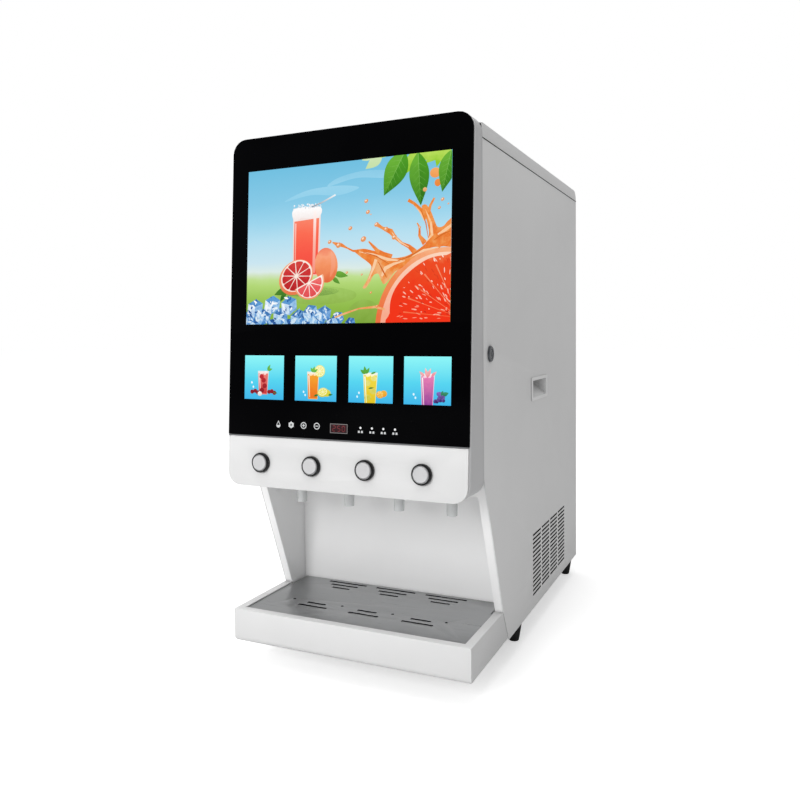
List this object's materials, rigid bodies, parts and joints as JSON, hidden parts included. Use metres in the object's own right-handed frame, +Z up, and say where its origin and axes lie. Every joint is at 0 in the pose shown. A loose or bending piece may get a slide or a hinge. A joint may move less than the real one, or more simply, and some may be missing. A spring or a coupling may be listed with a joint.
{
  "type": "fountain drink dispenser",
  "caption": "Countertop cold-drink dispenser: leaning glass door with a screen and push buttons, dispensing bay with nozzles, drip tray, vented cabinet on short feet.",
  "frame": {"origin": "on the surface it stands on, in the middle of its width and depth", "axes": "+Z up, -Y out of the front with the screen and buttons, +X to the right of a person facing the front"},
  "size_m": [0.4245, 0.7422, 0.876],
  "materials": {
    "zinc_sheet": "zinc-coated sheet, dull",
    "grey_enamel": "light grey powder coat, fine orange peel",
    "white_enamel": "white enamel, satin",
    "white_plastic": "white moulded plastic, satin",
    "door_grey": "grey moulded plastic, satin",
    "black_glass": "black printed tempered glass, high gloss",
    "black_plastic": "black moulded plastic",
    "silver_plastic": "silver-white satin",
    "brushed_steel": "brushed stainless",
    "chrome": "polished",
    "rubber": "matte black",
    "clear_tube": "translucent grey plastic",
    "bottle_plastic": "milky moulded plastic",
    "foam_case": "off-white insulated case",
    "compressor_paint": "black enamel",
    "brass": "machined",
    "circuit_board": "green lacquered board",
    "screen": "lit picture panel"
  },
  "bodies": {
    "cabinet": {"base_pan": "zinc_sheet", "bulkhead": "zinc_sheet", "fan_shroud": "zinc_sheet", "condenser": "zinc_sheet", "side_panel_left": "grey_enamel", "side_panel_right": "grey_enamel", "rear_panel": "grey_enamel", "top_cover": "grey_enamel", "front_frame": "white_enamel", "bay_liner": "white_enamel", "grip_cup_left": "white_plastic", "grip_cup_right": "white_plastic", "power_inlet": "black_plastic", "pump_1": "black_plastic", "pump_2": "black_plastic", "pump_3": "black_plastic", "pump_4": "black_plastic", "fan_motor": "black_plastic", "syrup_shelf": "brushed_steel", "hinge_bracket_top": "brushed_steel", "hinge_bracket_bottom": "brushed_steel", "lock_housing": "chrome", "foot_front_left": "rubber", "foot_front_right": "rubber", "foot_rear_left": "rubber", "foot_rear_right": "rubber", "nozzle_1": "clear_tube", "nozzle_2": "clear_tube", "nozzle_3": "clear_tube", "nozzle_4": "clear_tube", "syrup_bottle_1": "bottle_plastic", "syrup_bottle_2": "bottle_plastic", "syrup_bottle_3": "bottle_plastic", "syrup_bottle_4": "bottle_plastic", "cooling_tank": "foam_case", "compressor": "compressor_paint", "water_inlet": "brass", "control_board": "circuit_board"},
    "door": {"door_shell": "door_grey", "front_glass": "black_glass", "button_panel": "white_plastic", "display_panel": "screen", "menu_panel": "screen", "touch_board": "circuit_board", "door_back_panel": "zinc_sheet", "door_gasket": "rubber", "door_catch": "brushed_steel", "button_bezel_1": "black_plastic", "button_bezel_2": "black_plastic", "button_bezel_3": "black_plastic", "button_bezel_4": "black_plastic"},
    "button_1": {"button_cap_1": "silver_plastic"},
    "button_2": {"button_cap_2": "silver_plastic"},
    "button_3": {"button_cap_3": "silver_plastic"},
    "button_4": {"button_cap_4": "silver_plastic"},
    "tray": {"drip_tray": "white_plastic"},
    "plate": {"drip_plate": "brushed_steel"},
    "lock": {"lock_cylinder": "chrome"},
    "fan": {"fan_blade": "black_plastic"},
    "switch": {"power_switch": "black_plastic"}
  },
  "joints": [
    {"name": "door_hinge", "type": "hinge", "parent": "cabinet", "child": "door", "pos_m": [-0.1978, -0.3035, 0.59], "axis": [0, 0, -1], "range_deg": [0, 90]},
    {"name": "button_1_press", "type": "slide", "parent": "door", "child": "button_1", "axis": [0, 0.9983, -0.0581], "range_m": [0, 0.003], "stiffness_N_per_m": 500, "springref_m": -0.001},
    {"name": "button_2_press", "type": "slide", "parent": "door", "child": "button_2", "axis": [0, 0.9983, -0.0581], "range_m": [0, 0.003], "stiffness_N_per_m": 500, "springref_m": -0.001},
    {"name": "button_3_press", "type": "slide", "parent": "door", "child": "button_3", "axis": [0, 0.9983, -0.0581], "range_m": [0, 0.003], "stiffness_N_per_m": 500, "springref_m": -0.001},
    {"name": "button_4_press", "type": "slide", "parent": "door", "child": "button_4", "axis": [0, 0.9983, -0.0581], "range_m": [0, 0.003], "stiffness_N_per_m": 500, "springref_m": -0.001},
    {"name": "tray_slide", "type": "slide", "parent": "cabinet", "child": "tray", "axis": [0, -1, 0], "range_m": [0, 0.15]},
    {"name": "plate_lift", "type": "slide", "parent": "tray", "child": "plate", "axis": [0, 0, 1], "range_m": [0, 0.06]},
    {"name": "lock_turn", "type": "hinge", "parent": "cabinet", "child": "lock", "pos_m": [0.2, -0.259, 0.522], "axis": [1, 0, 0], "range_deg": [0, 90]},
    {"name": "fan_spin", "type": "hinge", "parent": "cabinet", "child": "fan", "pos_m": [0.132, 0.118, 0.17], "axis": [1, 0, 0], "continuous": true},
    {"name": "switch_rock", "type": "hinge", "parent": "cabinet", "child": "switch", "pos_m": [-0.1056, 0.366, 0.1056], "axis": [1, 0, 0], "range_deg": [0, 16]}
  ]
}
